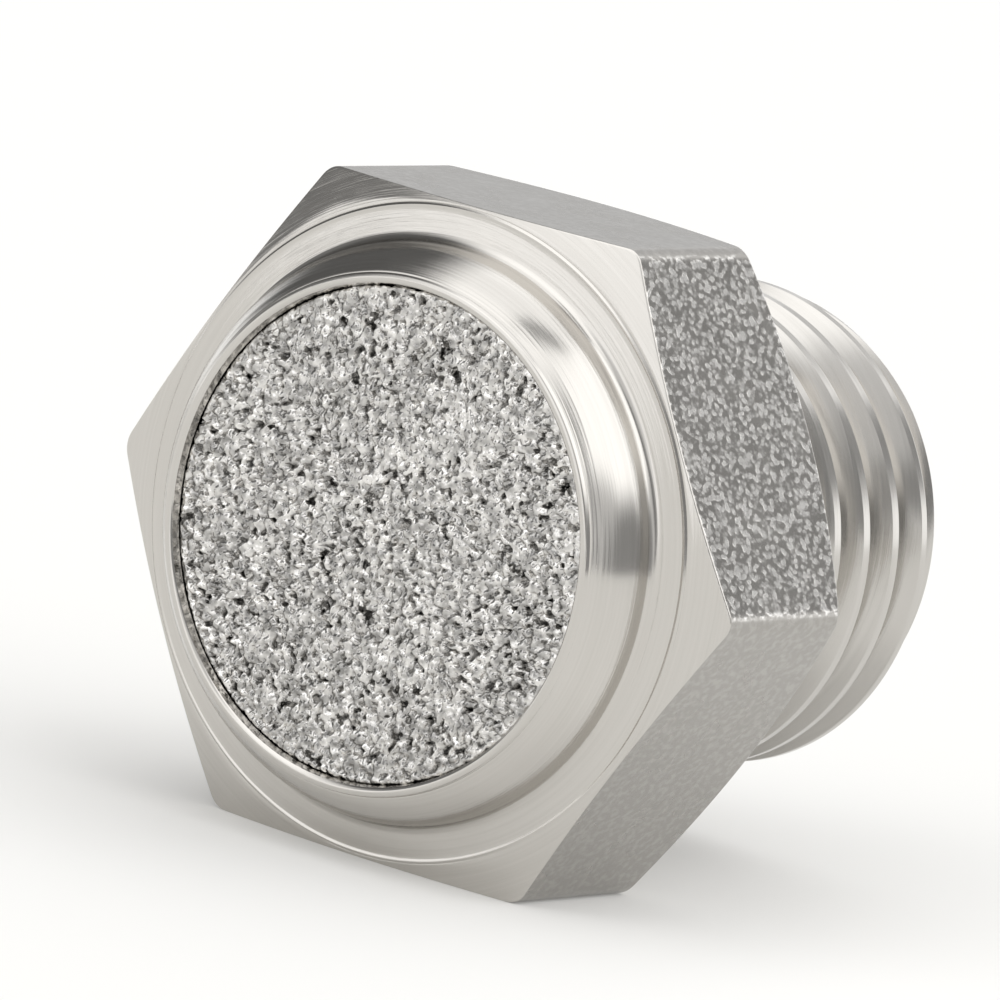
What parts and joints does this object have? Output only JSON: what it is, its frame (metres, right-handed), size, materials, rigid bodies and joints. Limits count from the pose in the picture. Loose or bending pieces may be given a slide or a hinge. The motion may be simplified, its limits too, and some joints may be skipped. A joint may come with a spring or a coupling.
{
  "type": "pneumatic exhaust muffler",
  "caption": "Short stainless exhaust muffler: hexagon body with a male taper pipe thread and a porous sintered disc held under the body's rolled front rim.",
  "frame": {"origin": "on the muffler's axis, in the plane of the hexagon's rear face, inside the inlet bore's span", "axes": "+Y along the axis out of the threaded end, so the disc faces -Y; +Z square to the hexagon's upper flat, with the opposite flat level underneath; +X towards a hexagon corner"},
  "size_m": [0.0194, 0.0167, 0.017],
  "materials": {
    "turned_stainless": "bright turned stainless steel, drawn bar surface on the flats",
    "sintered_stainless": "open porous sintered stainless grains"
  },
  "bodies": {
    "root": {"threaded_body": "turned_stainless", "sintered_disc": "sintered_stainless"}
  },
  "joints": []
}
